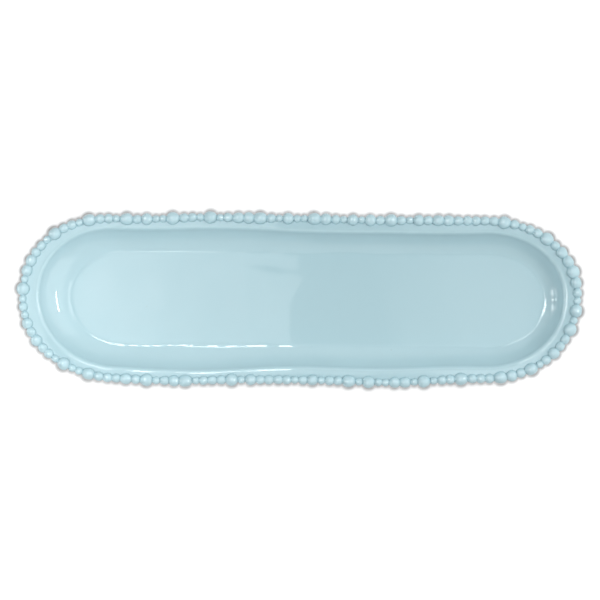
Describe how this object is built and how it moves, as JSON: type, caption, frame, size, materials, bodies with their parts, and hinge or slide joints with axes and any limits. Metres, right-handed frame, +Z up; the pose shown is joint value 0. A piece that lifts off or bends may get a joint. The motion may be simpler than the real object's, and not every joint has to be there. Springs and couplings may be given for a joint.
{
  "type": "oval serving plate",
  "caption": "Long oval serving plate of glazed ceramic with a flat floor, curved wall, foot ring and a rim edged with round beads of mixed sizes.",
  "frame": {"origin": "on the table under the middle of the plate", "axes": "+X along the plate's length, +Y across it, +Z up out of the well"},
  "size_m": [0.5085, 0.1592, 0.038],
  "materials": {
    "glaze": "glossy pale blue glaze",
    "foot": "thin glaze, wiped from the sole",
    "bead_glaze": "glossy pale blue glaze, deeper between the beads"
  },
  "bodies": {
    "root": {"dish_body": "glaze", "foot_ring": "foot", "bead_strip_01": "bead_glaze", "bead_strip_02": "bead_glaze", "bead_strip_03": "bead_glaze", "bead_strip_04": "bead_glaze", "bead_strip_05": "bead_glaze", "bead_strip_06": "bead_glaze", "bead_strip_07": "bead_glaze", "bead_strip_08": "bead_glaze", "bead_strip_09": "bead_glaze", "bead_strip_10": "bead_glaze", "bead_strip_11": "bead_glaze", "bead_strip_12": "bead_glaze", "bead_strip_13": "bead_glaze", "bead_strip_14": "bead_glaze", "bead_strip_15": "bead_glaze", "bead_strip_16": "bead_glaze", "bead_strip_17": "bead_glaze", "bead_strip_18": "bead_glaze", "bead_strip_19": "bead_glaze", "bead_strip_20": "bead_glaze", "bead_strip_21": "bead_glaze", "bead_strip_22": "bead_glaze", "bead_strip_23": "bead_glaze", "bead_strip_24": "bead_glaze", "bead_strip_25": "bead_glaze", "bead_strip_26": "bead_glaze", "bead_strip_27": "bead_glaze", "bead_strip_28": "bead_glaze", "bead_strip_29": "bead_glaze", "bead_strip_30": "bead_glaze", "bead_strip_31": "bead_glaze", "bead_strip_32": "bead_glaze", "bead_strip_33": "bead_glaze", "bead_strip_34": "bead_glaze", "bead_strip_35": "bead_glaze", "bead_strip_36": "bead_glaze", "bead_strip_37": "bead_glaze", "bead_strip_38": "bead_glaze", "bead_strip_39": "bead_glaze", "bead_strip_40": "bead_glaze", "bead_strip_41": "bead_glaze", "bead_strip_42": "bead_glaze", "bead_strip_43": "bead_glaze", "bead_strip_44": "bead_glaze", "bead_strip_45": "bead_glaze", "bead_strip_46": "bead_glaze"}
  },
  "joints": []
}
